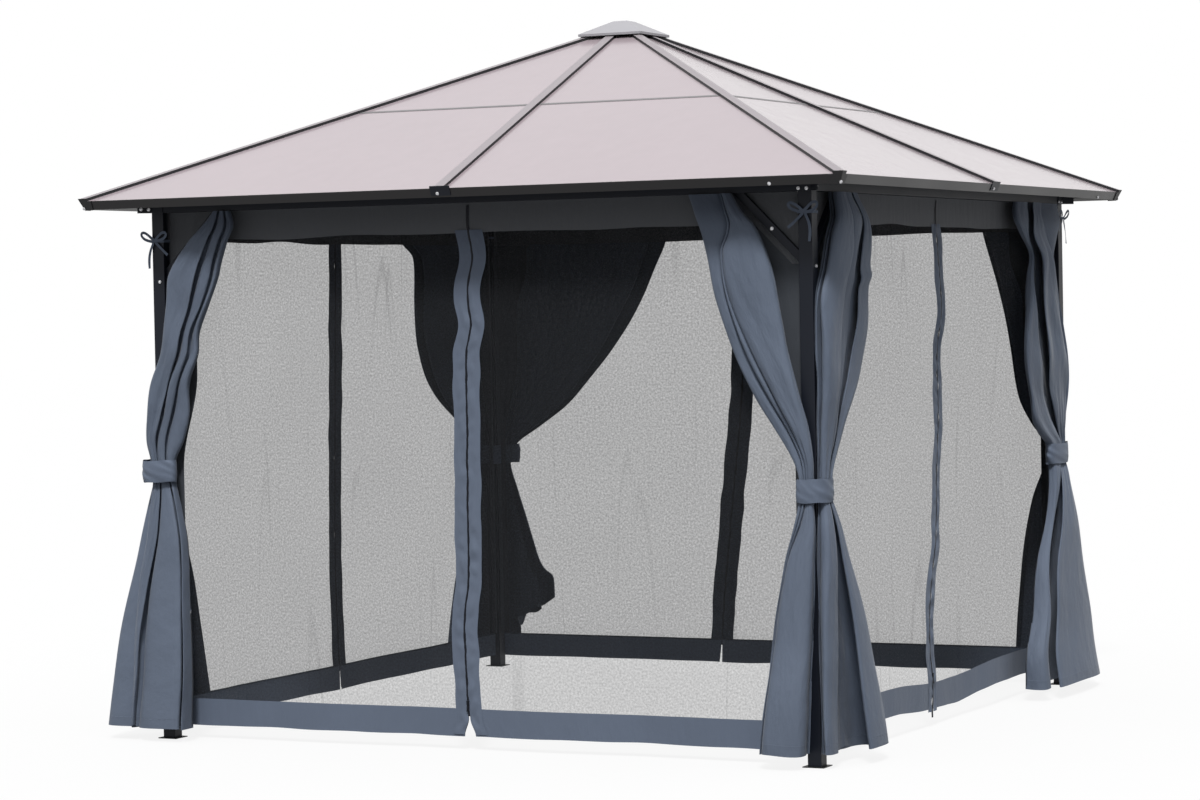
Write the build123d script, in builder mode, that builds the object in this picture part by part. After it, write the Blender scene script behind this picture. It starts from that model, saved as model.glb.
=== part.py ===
from build123d import *

import os
from math import atan, cos, radians, sin, sqrt, tan

os.makedirs("parts", exist_ok=True)

# Square garden gazebo with a hard roof, net walls and tied curtains, in millimetres.
# The origin is on the ground under the middle of the roof. The front is -Y and +Z is up.

# Overall frame
post_half_span = 1292.0
eave_overhang = 209.0
roof_pitch = 23.6

# Posts and feet
post_side = 50.0
post_wall = 2.0
post_corner_radius = 2.5
plate_side = 80.0
plate_thickness = 3.0
plate_corner_radius = 4.0
bolt_spacing = 60.0
bolt_hole_radius = 4.0
spigot_height = 60.0
spigot_clearance = 0.2

# Ring beams between the post heads, with two hook tracks in the underside
beam_bottom = 1944.0
beam_height = 60.0
beam_width = 50.0
beam_wall = 2.5
track_offset = 16.0
track_width = 10.0
track_lip = 2.0
track_depth = 8.0

# Brackets that carry the roof on the posts and beams
head_plate = 3.0
head_fin_reach = 50.0
head_fin_thickness = 5.0
saddle_width = 34.0
saddle_length = 62.0
bracket_width = 26.0
bracket_length = 44.0
bracket_rise = 33.8

# Plates over the middle rafters' ends, screwed to the fascia
end_plate_half = 39.0
end_plate_thickness = 2.5
# Share of the fascia's height that a plate covers
end_plate_share = 0.75

# Knee braces between posts and beams
brace_leg = 245.0
brace_width = 28.0
brace_thickness = 20.0

# Rafters: a box below the panels, a web between them and a cap over them
rafter_box_half = 15.0
rafter_box_depth = 34.0
rafter_wall = 2.0
rafter_web_half = 6.0
rafter_cap_half = 19.0
rafter_cap_thickness = 10.0

# Roof panels, in the plane of each slope
panel_thickness = 6.0
panel_clearance = 0.5
panel_cover = 28.0
strip_web_half = 1.5
strip_flange_half = 7.0
strip_flange_thickness = 1.2

# Fascia round the eave, square to the slopes
fascia_height = 27.5
fascia_depth = 30.0
fascia_wall = 2.5
corner_cap_leg = 46.0
corner_nub_leg = 28.0
corner_cap_wall = 3.0
corner_cap_rise = 1.5
corner_cap_drop = 1.5
corner_cap_round = 5.0

# Crown
hub_apothem = 80.0
hub_wall = 4.0
hub_margin = 5.0
boss_radius = 11.0
crown_half = 132.0
crown_gap = 6.0
crown_rim_height = 9.0
crown_pitch = 27.0
crown_top_half = 28.0
crown_round = 40.0
crown_wall = 3.0
cap_cover = 20.0

# Cloth: curtains outside the posts, nets in the inner track
cloth_clearance = 0.3
hang_depth = 46.0
hem_height = 48.0
tie_height = 80.0
tie_thickness = 2.0
bundle_start = 5.0
bundle_width = 62.0
bundle_depth = 42.0
skirt_start = 10.0
net_thickness = 2.0
net_gap = 19.0
net_bottom = 50.0

# Share of the eave's half width at the panels' joint
joint_share = 0.508
# Shares of the beam's height at the tops of the ties
tie_shares = {"front_right": 0.498, "back_right": 0.508, "back_left": 0.499, "front_left": 0.531}
# Each curtain's side and end of it, and four shares of the posts' half span: its reach along
# the beam, its post edge's stand-off there, and its skirt's spread and depth at the hem
curtain_shares = {
    "curtain_front_right": (0, 1, 0.34, 0.147, 0.12, 0.093),
    "curtain_front_left": (0, -1, 0.255, 0.028, 0.119, 0.08),
    "curtain_right_front": (1, -1, 0.34, 0.046, 0.25, 0.098),
    "curtain_right_back": (1, 1, 0.263, 0.028, 0.155, 0.128),
    "curtain_back_right": (2, -1, 0.255, 0.028, 0.155, 0.093),
    "curtain_back_left": (2, 1, 0.646, 0.028, 0.18, 0.093),
    "curtain_left_back": (3, -1, 0.611, 0.028, 0.186, 0.093),
    "curtain_left_front": (3, 1, 0.263, 0.028, 0.17, 0.14),
}
# Free edge between beam and tie: share of the drop, share of the reach, share of the stand-off
curtain_edge_shares = ((0.16, 0.93, 0.86), (0.36, 0.82, 0.58), (0.7, 0.48, 0.26), (0.88, 0.24, 0.1))
# Skirt between tie and hem: share of the drop, share of the skirt's spread
skirt_shares = ((0.16, 0.2), (0.5, 0.66), (1.0, 1.0))

# Worked out from the sizes above
quarter_turn = 90.0
diagonal = sqrt(2)
side_names = ("front", "right", "back", "left")
corner_names = ("front_right", "back_right", "back_left", "front_left")
pitch = radians(roof_pitch)
hip_pitch = atan(tan(pitch) / diagonal)
post_half = post_side / 2
beam_top = beam_bottom + beam_height
beam_half_length = post_half_span - post_half
eave_half = post_half_span + eave_overhang
rafter_foot = beam_top + bracket_rise + rafter_box_depth / cos(pitch)
eave_height = rafter_foot - eave_overhang * tan(pitch)
slope_length = eave_half / cos(pitch)
hip_length = eave_half * diagonal / cos(hip_pitch)
joint_half = eave_half * joint_share
panel_top_half = crown_half - panel_cover
cap_end_half = crown_half - cap_cover
track_mouth = net_thickness + 2 * cloth_clearance
net_top = beam_bottom + track_lip
net_half = beam_half_length - net_gap
cloth_top = beam_bottom - cloth_clearance
cloth_inner = post_half_span + post_half + cloth_clearance


def roof_height(out, lift=0.0):
    """Height of the panels' underside, raised square to the slope by lift, at a distance out."""
    return eave_height + (eave_half - out) * tan(pitch) + lift / cos(pitch)


def turned(turn, x, y, z=0.0):
    """A point of the front side, carried round to another side."""
    angle = radians(quarter_turn * turn)
    return (x * cos(angle) - y * sin(angle), x * sin(angle) + y * cos(angle), z)


def side_plane(turn):
    """Upright plane through the middle: x along the side, y up, normal outwards."""
    return Plane((0, 0, 0), x_dir=turned(turn, 1, 0), z_dir=turned(turn, 0, -1))


def section_plane(turn):
    """Upright plane across a side: x outwards, y up."""
    return Plane((0, 0, 0), x_dir=turned(turn, 0, -1), z_dir=turned(turn, -1, 0))


def plan_plane(turn, z):
    """Level plane: x along the side, y inwards."""
    return Plane((0, 0, z), x_dir=turned(turn, 1, 0), z_dir=(0, 0, 1))


def corner_plane(turn, half, z):
    """Level plane on a corner: +x and -y are the two outward directions there."""
    return Plane(turned(turn, half, -half, z), x_dir=turned(turn, 1, 0), z_dir=(0, 0, 1))


def roof_plane(turn):
    """Underside of a slope's panels: x along the eave, y up the slope, normal outwards."""
    return Plane(
        turned(turn, 0, -eave_half, eave_height),
        x_dir=turned(turn, 1, 0),
        z_dir=turned(turn, 0, -sin(pitch), cos(pitch)),
    )


def hip_plane(turn):
    """Plane square to a hip at its lower end: x across the hip, y up."""
    return Plane(
        turned(turn, eave_half, -eave_half, eave_height),
        x_dir=turned(turn, 1, 1),
        z_dir=turned(turn, cos(hip_pitch), -cos(hip_pitch), -diagonal * sin(hip_pitch)),
    )


def middle_plane(turn, back=0.0):
    """Plane square to a slope, back from the eave: x along the eave, y away from the slope."""
    slope = roof_plane(turn)
    return Plane(slope.origin + slope.y_dir * back, x_dir=slope.x_dir, z_dir=-slope.y_dir)


def eave_section(turn):
    """Upright plane across a side at the eave: x down the slope, y away from the slope."""
    return Plane(
        turned(turn, 0, -eave_half, eave_height),
        x_dir=turned(turn, 0, -cos(pitch), -sin(pitch)),
        z_dir=turned(turn, -1, 0),
    )


def crown_plane(turn, lift):
    """Plane of one slope of the vent cap, lifted square to it, with its normal outwards."""
    fall = radians(crown_pitch)
    slope = Plane(
        turned(turn, 0, -crown_half, crown_rim),
        x_dir=turned(turn, 1, 0),
        z_dir=turned(turn, 0, -sin(fall), cos(fall)),
    )
    return slope.offset(lift)


def hip_underside(turn):
    """Plane of a hip rafter's underside, with its normal upwards."""
    drop = rafter_box_depth / cos(hip_pitch)
    return Plane(
        turned(turn, eave_half, -eave_half, eave_height - drop),
        x_dir=turned(turn, 1, 1),
        z_dir=turned(turn, sin(hip_pitch), -sin(hip_pitch), diagonal * cos(hip_pitch)),
    )


def outline(*points):
    """A face with these corners, for the sketch that calls it."""
    Polygon(*points, align=None)


# Posts and their feet
for turn, corner in enumerate(corner_names):
    with BuildPart() as post:
        with BuildSketch(corner_plane(turn, post_half_span, plate_thickness)):
            RectangleRounded(post_side, post_side, post_corner_radius)
            Rectangle(post_side - 2 * post_wall, post_side - 2 * post_wall, mode=Mode.SUBTRACT)
        extrude(amount=beam_top - plate_thickness)
    post.part.label = f"post_{corner}"
    export_step(post.part, f"parts/post_{corner}.step")

    spigot_side = post_side - 2 * post_wall - 2 * spigot_clearance
    with BuildPart() as base_plate:
        with BuildSketch(corner_plane(turn, post_half_span, 0)):
            RectangleRounded(plate_side, plate_side, plate_corner_radius)
            with GridLocations(bolt_spacing, bolt_spacing, 2, 2):
                Circle(bolt_hole_radius, mode=Mode.SUBTRACT)
        extrude(amount=plate_thickness)
        with BuildSketch(corner_plane(turn, post_half_span, plate_thickness)):
            Rectangle(spigot_side, spigot_side)
            Rectangle(spigot_side - 2 * post_wall, spigot_side - 2 * post_wall, mode=Mode.SUBTRACT)
        extrude(amount=spigot_height)
    base_plate.part.label = f"base_plate_{corner}"
    export_step(base_plate.part, f"parts/base_plate_{corner}.step")

# Ring beams
for turn, side in enumerate(side_names):
    with BuildPart() as ring_beam:
        with BuildSketch(section_plane(turn)):
            with Locations((post_half_span, beam_bottom + beam_height / 2)):
                Rectangle(beam_width, beam_height)
            chamber_height = beam_height - track_lip - track_depth - 2 * beam_wall
            chamber_middle = beam_top - beam_wall - chamber_height / 2
            with Locations((post_half_span, chamber_middle)):
                Rectangle(beam_width - 2 * beam_wall, chamber_height, mode=Mode.SUBTRACT)
            for offset_sign in (-1, 1):
                track = post_half_span + offset_sign * track_offset
                with Locations((track, beam_bottom + track_lip / 2)):
                    Rectangle(track_mouth, track_lip, mode=Mode.SUBTRACT)
                with Locations((track, beam_bottom + track_lip + track_depth / 2)):
                    Rectangle(track_width, track_depth, mode=Mode.SUBTRACT)
        extrude(amount=beam_half_length, both=True)
    ring_beam.part.label = f"ring_beam_{side}"
    export_step(ring_beam.part, f"parts/ring_beam_{side}.step")

# Post heads: an angle round the post's outer corner, a fin under the hip and a saddle
with BuildPart() as post_heads:
    for turn in range(4):
        with BuildSketch(corner_plane(turn, post_half_span, beam_bottom)):
            with Locations((head_plate / 2, -head_plate / 2)):
                Rectangle(post_side + head_plate, post_side + head_plate)
            Rectangle(post_side, post_side, mode=Mode.SUBTRACT)
        extrude(amount=beam_height)
    fin_inner = (post_half + head_plate / 2) * diagonal
    for turn in range(4):
        axis_height = roof_height(post_half_span, 0.0)
        with BuildSketch(corner_plane(turn, post_half_span, beam_bottom)):
            with Locations(Rotation(0, 0, -quarter_turn / 2)):
                with Locations((fin_inner + head_fin_reach / 2, 0)):
                    Rectangle(head_fin_reach, head_fin_thickness)
        extrude(amount=axis_height - beam_bottom)
        with BuildSketch(corner_plane(turn, post_half_span, beam_top)):
            with Locations(Rotation(0, 0, -quarter_turn / 2)):
                Rectangle(saddle_length, saddle_width)
            with Locations((head_plate / 2, -head_plate / 2)):
                Rectangle(post_side + head_plate, post_side + head_plate, mode=Mode.INTERSECT)
        extrude(amount=axis_height - beam_top)
    for turn in range(4):
        split(bisect_by=hip_underside(turn), keep=Keep.BOTTOM)
post_heads.part.label = "post_heads"
export_step(post_heads.part, "parts/post_heads.step")

# Brackets between the ring beams and the middle rafters, and a plate over each one's end at the eave
with BuildPart() as rafter_brackets:
    for turn in range(4):
        plate_low = -fascia_height * end_plate_share
        plate_high = panel_thickness + rafter_cap_thickness
        with BuildSketch(eave_section(turn)):
            with Locations((end_plate_thickness / 2, (plate_low + plate_high) / 2)):
                Rectangle(end_plate_thickness, plate_high - plate_low)
        extrude(amount=end_plate_half, both=True)
        with BuildSketch(section_plane(turn)):
            near = post_half_span - bracket_length / 2
            far = post_half_span + bracket_length / 2
            outline(
                (near, beam_top),
                (far, beam_top),
                (far, roof_height(far, -rafter_box_depth)),
                (near, roof_height(near, -rafter_box_depth)),
            )
        extrude(amount=bracket_width / 2, both=True)
rafter_brackets.part.label = "rafter_brackets"
export_step(rafter_brackets.part, "parts/rafter_brackets.step")

# Knee braces, two at each post
with BuildPart() as corner_braces:
    for turn in range(4):
        with BuildSketch(side_plane(turn).offset(post_half_span)):
            mitre = brace_width * diagonal
            outline(
                (beam_half_length, beam_bottom - brace_leg),
                (beam_half_length, beam_bottom - brace_leg + mitre),
                (beam_half_length - brace_leg + mitre, beam_bottom),
                (beam_half_length - brace_leg, beam_bottom),
            )
            mirror(about=Plane.YZ)
        extrude(amount=brace_thickness / 2, both=True)
corner_braces.part.label = "corner_braces"
export_step(corner_braces.part, "parts/corner_braces.step")

# Fascia: a channel open inwards, with a ledge under the panels and a lip before their edge
wedge_half = eave_half + fascia_depth
for turn, side in enumerate(side_names):
    with BuildPart() as fascia:
        with BuildSketch(eave_section(turn)):
            outline(
                (0, -fascia_height),
                (0, panel_thickness),
                (-fascia_wall, panel_thickness),
                (-fascia_wall, 0),
                (-fascia_depth, 0),
                (-fascia_depth, -fascia_wall),
                (-fascia_wall, -fascia_wall),
                (-fascia_wall, fascia_wall - fascia_height),
                (-fascia_depth, fascia_wall - fascia_height),
                (-fascia_depth, -fascia_height),
            )
        extrude(amount=wedge_half, both=True)
        with BuildSketch(plan_plane(turn, 0)):
            outline((0, 0), (wedge_half, -wedge_half), (-wedge_half, -wedge_half))
        extrude(amount=roof_height(0), mode=Mode.INTERSECT)
    fascia.part.label = f"fascia_{side}"
    export_step(fascia.part, f"parts/fascia_{side}.step")

# Corner caps that wrap the mitred fascia ends, with a nub in front of each hip's end
cap_low = -fascia_height - corner_cap_drop
cap_high = panel_thickness + rafter_cap_thickness + corner_cap_rise
cap_layers = (
    (cap_low, panel_thickness, corner_cap_leg),
    (panel_thickness, cap_high, corner_nub_leg),
)
with BuildPart() as eave_corner_caps:
    for turn in range(4):
        for low, high, leg in cap_layers:
            with BuildPart():
                with BuildSketch(eave_section(turn)):
                    with Locations((corner_cap_wall / 2, (low + high) / 2)):
                        Rectangle(corner_cap_wall, high - low)
                extrude(amount=wedge_half, both=True)
                with BuildSketch(plan_plane(turn, 0)):
                    outline((0, 0), (wedge_half, -wedge_half), (-wedge_half, -wedge_half))
                    Rectangle(2 * (eave_half - leg), 2 * wedge_half, mode=Mode.SUBTRACT)
                extrude(amount=roof_height(0), mode=Mode.INTERSECT)
    corner_middle = eave_half + (cap_low + cap_high) / 2 * sin(pitch) + corner_cap_wall / 2 * cos(pitch)
    corner_edges = eave_corner_caps.edges().filter_by(
        lambda edge: min(abs(edge.center().X), abs(edge.center().Y)) > corner_middle
    )
    fillet(corner_edges, radius=corner_cap_round)
eave_corner_caps.part.label = "eave_corner_caps"
export_step(eave_corner_caps.part, "parts/eave_corner_caps.step")


def rafter_box(fall_share):
    """Right and left halves of a rafter's box, its top falling away by fall_share each side."""
    fall = rafter_box_half * fall_share
    outline(
        (0, -rafter_box_depth),
        (rafter_box_half, -rafter_box_depth),
        (rafter_box_half, -fall),
        (0, 0),
    )
    mirror(about=Plane.YZ)
    hollow_height = rafter_box_depth - fall - 2 * rafter_wall
    with Locations((0, -rafter_box_depth + rafter_wall + hollow_height / 2)):
        Rectangle(2 * (rafter_box_half - rafter_wall), hollow_height, mode=Mode.SUBTRACT)


def rafter_web(fall_share):
    """Web over a rafter's box, between the panels."""
    fall = rafter_web_half * fall_share
    under = panel_thickness * sqrt(1 + fall_share**2)
    outline((0, 0), (rafter_web_half, -fall), (rafter_web_half, under - fall), (0, under))
    mirror(about=Plane.YZ)


def rafter_cap(fall_share):
    """Cap over a rafter's web, following the panels on each side."""
    fall = rafter_cap_half * fall_share
    under = panel_thickness * sqrt(1 + fall_share**2)
    over = (panel_thickness + rafter_cap_thickness) * sqrt(1 + fall_share**2)
    outline((0, under), (rafter_cap_half, under - fall), (rafter_cap_half, over - fall), (0, over))
    mirror(about=Plane.YZ)


def hub_outline():
    """Outline of the hub, where a rafter's box and web end."""
    RegularPolygon(hub_apothem, 8, major_radius=False, rotation=quarter_turn / 4)


def cap_end_outline():
    """Outline under the vent cap, where a rafter's cap ends."""
    Rectangle(2 * cap_end_half, 2 * cap_end_half)


# Rafters from the eave to the hub: four on the hips and four up the middles of the slopes
rafter_kinds = (
    ("hip_rafters", hip_plane, hip_length, sin(hip_pitch)),
    ("middle_rafters", middle_plane, slope_length, 0.0),
)
rafter_layers = (
    (rafter_box, fascia_depth, hub_outline),
    (rafter_web, fascia_wall, hub_outline),
    (rafter_cap, 0.0, cap_end_outline),
)
for name, section, length, fall_share in rafter_kinds:
    with BuildPart() as rafters:
        for layer, eave_back, end_outline in rafter_layers:
            with BuildPart():
                for turn in range(4):
                    with BuildSketch(section(turn)):
                        layer(fall_share)
                    extrude(amount=-length)
                with BuildSketch(Plane.XY.offset(beam_top)):
                    end_outline()
                extrude(amount=beam_top, mode=Mode.SUBTRACT)
                for turn in range(4):
                    split(bisect_by=middle_plane(turn, eave_back), keep=Keep.BOTTOM)
    rafters.part.label = name
    export_step(rafters.part, f"parts/{name}.step")


def up_slope(out):
    """Distance up a slope from the eave to a distance out from the middle."""
    return (eave_half - out) / cos(pitch)


def beside_hip(offset, height):
    """Place along the eave of a line that runs beside the hip, offset square to it."""
    return eave_half - offset * sqrt(1 + cos(pitch) ** 2) - height * cos(pitch)


hip_fall = atan(sin(hip_pitch))
web_offset = (rafter_web_half + panel_clearance) / cos(hip_fall)
cap_offset = (rafter_cap_half + panel_clearance) / cos(hip_fall)
joint_height = up_slope(joint_half)


def slope_piece(low, high, near, offset):
    """A four-sided face on the right of a slope's middle, and its mirror image on the left."""
    outline((near, low), (beside_hip(offset, low), low), (beside_hip(offset, high), high), (near, high))
    mirror(about=Plane.YZ)


# Roof panels: two below the joint and two above it on each slope, held in the rafters
for turn, side in enumerate(side_names):
    with BuildPart() as roof_panels:
        with BuildSketch(roof_plane(turn)):
            near = rafter_web_half + panel_clearance
            lowest = fascia_wall + panel_clearance
            slope_piece(lowest, joint_height - strip_web_half, near, web_offset)
            slope_piece(joint_height + strip_web_half, up_slope(panel_top_half), near, web_offset)
        extrude(amount=panel_thickness)
    roof_panels.part.label = f"roof_panels_{side}"
    export_step(roof_panels.part, f"parts/roof_panels_{side}.step")

# Joint strips between the lower and upper panels
with BuildPart() as panel_joint_strips:
    strip_layers = (
        (-strip_flange_thickness, strip_flange_thickness, strip_flange_half),
        (0, panel_thickness, strip_web_half),
        (panel_thickness, strip_flange_thickness, strip_flange_half),
    )
    for turn in range(4):
        for lift, thickness, half in strip_layers:
            with BuildSketch(roof_plane(turn).offset(lift)):
                near = rafter_cap_half + panel_clearance
                slope_piece(joint_height - half, joint_height + half, near, cap_offset)
            extrude(amount=thickness)
panel_joint_strips.part.label = "panel_joint_strips"
export_step(panel_joint_strips.part, "parts/panel_joint_strips.step")

# Crown hub: an eight-sided cup that the rafters meet, with a boss for the vent cap
hub_bottom = roof_height(hub_apothem, -rafter_box_depth) - hub_margin
hub_top = roof_height(hub_apothem / diagonal, panel_thickness) + hub_margin
crown_bottom = roof_height(crown_half, panel_thickness + rafter_cap_thickness) + crown_gap
crown_rim = crown_bottom + crown_rim_height
crown_top = crown_rim + (crown_half - crown_top_half) * tan(radians(crown_pitch))
with BuildPart() as crown_hub:
    with BuildSketch(Plane.XY.offset(hub_bottom)):
        hub_outline()
    extrude(amount=hub_top - hub_bottom)
    with BuildSketch(Plane.XY.offset(hub_bottom)):
        RegularPolygon(hub_apothem - hub_wall, 8, major_radius=False, rotation=quarter_turn / 4)
    extrude(amount=hub_top - hub_wall - hub_bottom, mode=Mode.SUBTRACT)
    with BuildSketch(Plane.XY.offset(hub_top)):
        Circle(boss_radius)
    extrude(amount=crown_top - crown_wall - hub_top)
crown_hub.part.label = "crown_hub"
export_step(crown_hub.part, "parts/crown_hub.step")

# Vent cap: a shallow pyramid with a rounded top and a turned-down rim, clear of the panels
with BuildPart() as crown_cap:
    with BuildSketch(Plane.XY.offset(crown_bottom)):
        Rectangle(2 * crown_half, 2 * crown_half)
    extrude(amount=crown_top - crown_bottom)
    for turn in range(4):
        split(bisect_by=crown_plane(turn, 0), keep=Keep.BOTTOM)
    fillet(crown_cap.faces().sort_by(Axis.Z)[-1].edges(), radius=crown_round)
    with BuildPart(mode=Mode.SUBTRACT):
        with BuildSketch(Plane.XY.offset(crown_bottom)):
            Rectangle(2 * (crown_half - crown_wall), 2 * (crown_half - crown_wall))
        extrude(amount=crown_top - crown_wall - crown_bottom)
        for turn in range(4):
            split(bisect_by=crown_plane(turn, -crown_wall), keep=Keep.BOTTOM)
crown_cap.part.label = "crown_cap"
export_step(crown_cap.part, "parts/crown_cap.step")

# Curtains: each gathers from the beam to the tie at its post, and spreads below it
for name, (turn, end, reach_share, stand_share, spread_share, depth_share) in curtain_shares.items():
    corner = corner_names[turn] if end > 0 else corner_names[turn - 1]
    tie_top = beam_bottom * tie_shares[corner]
    tie_bottom = tie_top - tie_height
    reach = post_half_span * reach_share
    stand_off = post_half_span * stand_share
    spread = post_half_span * spread_share
    skirt_depth = post_half_span * depth_share
    bundle_end = bundle_start + bundle_width
    drop = cloth_top - tie_top
    hung_from = post_half_span + brace_thickness / 2 + cloth_clearance
    levels = [(cloth_top, stand_off, reach, hung_from, hang_depth)]
    for drop_share, far_share, near_share in curtain_edge_shares:
        far = bundle_end + (reach - bundle_end) * far_share
        near = bundle_start + (stand_off - bundle_start) * near_share
        levels.append((cloth_top - drop * drop_share, near, far, cloth_inner, hang_depth))
    levels.append((tie_top, bundle_start, bundle_end, cloth_inner, bundle_depth))
    levels.append((tie_bottom, bundle_start, bundle_end, cloth_inner, bundle_depth))
    for drop_share, flare_share in skirt_shares:
        near = bundle_start + (skirt_start - bundle_start) * flare_share
        far = bundle_end + (spread - bundle_end) * flare_share
        depth = bundle_depth + (skirt_depth - bundle_depth) * flare_share
        levels.append((tie_bottom - (tie_bottom - hem_height) * drop_share, near, far, cloth_inner, depth))
    with BuildPart() as curtain:
        for height, near, far, inner, depth in levels:
            with BuildSketch(plan_plane(turn, height)):
                with Locations((end * (post_half_span - (near + far) / 2), -inner - depth / 2)):
                    Rectangle(far - near, depth)
        loft(ruled=True)
    curtain.part.label = name
    export_step(curtain.part, f"parts/{name}.step")

# Tie bands round each post and its two bundles
near = bundle_start
far = bundle_start + bundle_width
inner = post_half + cloth_clearance
outer = inner + bundle_depth
with BuildSketch() as bundle:
    outline(
        (-far, -outer),
        (-near, -outer),
        (outer, near),
        (outer, far),
        (inner, far),
        (-post_half, post_half),
        (-far, -inner),
    )
with BuildPart() as tie_bands:
    for turn, corner in enumerate(corner_names):
        tie_bottom = beam_bottom * tie_shares[corner] - tie_height
        with BuildSketch(corner_plane(turn, post_half_span, tie_bottom)):
            wrap = cloth_clearance + tie_thickness
            offset(bundle.sketch, amount=wrap, kind=Kind.INTERSECTION, mode=Mode.ADD)
            offset(bundle.sketch, amount=cloth_clearance, kind=Kind.INTERSECTION, mode=Mode.SUBTRACT)
        extrude(amount=tie_height)
tie_bands.part.label = "tie_bands"
export_step(tie_bands.part, "parts/tie_bands.step")

# Net walls, hung in the inner track
for turn, side in enumerate(side_names):
    with BuildPart() as net_wall:
        with BuildSketch(side_plane(turn).offset(post_half_span - track_offset)):
            with Locations((0, (net_bottom + net_top) / 2)):
                Rectangle(2 * net_half, net_top - net_bottom)
        extrude(amount=net_thickness / 2, both=True)
    net_wall.part.label = f"net_wall_{side}"
    export_step(net_wall.part, f"parts/net_wall_{side}.step")
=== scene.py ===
# %% [markdown]
# # A garden gazebo with net walls and tied curtains
# The posts, beams, rafters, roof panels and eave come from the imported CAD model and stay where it
# puts them. Blender dresses that frame: it paints the metal and the panels, and replaces the plain
# soft solids by real sheets of net and curtain cloth. Everything is in metres in the CAD frame.

# %% Load the frame
import math

import bpy
from mathutils import Matrix, Vector, noise


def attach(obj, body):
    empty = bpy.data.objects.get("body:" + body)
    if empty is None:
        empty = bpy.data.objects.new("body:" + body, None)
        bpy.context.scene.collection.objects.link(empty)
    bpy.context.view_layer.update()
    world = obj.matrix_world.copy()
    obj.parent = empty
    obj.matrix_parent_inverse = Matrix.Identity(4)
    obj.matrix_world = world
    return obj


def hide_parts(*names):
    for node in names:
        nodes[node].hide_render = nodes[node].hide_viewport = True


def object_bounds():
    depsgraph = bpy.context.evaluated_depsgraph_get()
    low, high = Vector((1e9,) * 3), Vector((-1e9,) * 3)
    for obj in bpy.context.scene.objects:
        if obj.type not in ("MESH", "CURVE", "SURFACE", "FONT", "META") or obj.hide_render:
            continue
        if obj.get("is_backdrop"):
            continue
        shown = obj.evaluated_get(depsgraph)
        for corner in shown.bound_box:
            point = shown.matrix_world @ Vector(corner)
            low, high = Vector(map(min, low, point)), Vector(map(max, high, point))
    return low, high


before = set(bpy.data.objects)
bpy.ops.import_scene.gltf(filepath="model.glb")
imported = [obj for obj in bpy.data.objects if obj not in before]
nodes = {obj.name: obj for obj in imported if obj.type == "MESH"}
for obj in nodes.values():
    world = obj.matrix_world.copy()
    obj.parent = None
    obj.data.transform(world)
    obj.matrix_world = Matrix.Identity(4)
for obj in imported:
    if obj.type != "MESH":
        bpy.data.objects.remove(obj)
cad_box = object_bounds()
TAU = 2 * math.pi
print("frame nodes:", len(nodes))

# %% [markdown]
# ## Camera
# The picture was taken from the front right, a little above the middle of the posts, through a long
# lens and with the horizon slightly tilted. Building the camera's three axes from turn, rise and roll
# keeps that tilt.

# %% Camera
camera_turn = math.radians(26.1484)
camera_rise = math.radians(1.6002)
camera_roll = math.radians(-1.1206)
camera_reach = 13.259
aim_height = 1.2
aim_right = -0.12
aim_up = 0.0052
sensor_width = 36.0
focal_share = 2.85164

back = Vector((math.sin(camera_turn) * math.cos(camera_rise),
               -math.cos(camera_turn) * math.cos(camera_rise),
               math.sin(camera_rise)))
level_right = Vector((math.cos(camera_turn), math.sin(camera_turn), 0.0))
level_up = back.cross(level_right)
aim = Vector((0.0, 0.0, aim_height)) + level_right * aim_right + level_up * aim_up
picture_right = level_right * math.cos(camera_roll) + level_up * math.sin(camera_roll)
picture_up = level_up * math.cos(camera_roll) - level_right * math.sin(camera_roll)
axes = Matrix((picture_right, picture_up, back)).transposed().to_4x4()

bpy.ops.object.camera_add()
camera = bpy.context.object
camera.name = "camera"
camera.data.sensor_width = sensor_width
camera.data.lens = sensor_width * focal_share
camera.matrix_world = Matrix.Translation(aim + back * camera_reach) @ axes
scene = bpy.context.scene
scene.camera = camera
scene.view_settings.view_transform = "Standard"
print("camera at", [round(c, 3) for c in camera.matrix_world.translation])

# %% [markdown]
# ## Writing finishes as sums
# A finish is a tree of nodes. Placing them by hand is slow to read, so a Wire stands for one socket,
# and arithmetic on wires adds the Math nodes. Any other node is added by Finish.node.

# %% Wires and finishes
def math_method(operation):
    """A method that adds one Math node after a wire."""
    return lambda wire, *others: wire.math(operation, wire, *others)


class Wire:
    """One output socket; + - * / and comparisons add Math nodes."""

    def __init__(self, finish, socket):
        self.finish = finish
        self.socket = socket

    def math(self, operation, *values):
        sockets = dict(enumerate(values))
        return self.finish.node("ShaderNodeMath", {"operation": operation}, sockets)

    __add__ = math_method("ADD")
    __radd__ = __add__
    __sub__ = math_method("SUBTRACT")
    __mul__ = math_method("MULTIPLY")
    __rmul__ = __mul__
    __truediv__ = math_method("DIVIDE")
    __lt__ = math_method("LESS_THAN")
    __gt__ = math_method("GREATER_THAN")
    sine = math_method("SINE")
    size = math_method("ABSOLUTE")
    part = math_method("FRACT")
    above = math_method("MAXIMUM")

    def __rsub__(self, other):
        return self.math("SUBTRACT", other, self)

    def around(self, centre, spread):
        """Moved from 0 to 1 onto a range of one spread about a centre."""
        return self * spread + (centre - spread / 2)

    def ramp(self, low, high):
        """0 below low, 1 above high, smooth between."""
        settings = {"interpolation_type": "SMOOTHSTEP"}
        return self.finish.node("ShaderNodeMapRange", settings, {0: self, 1: low, 2: high})


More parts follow.
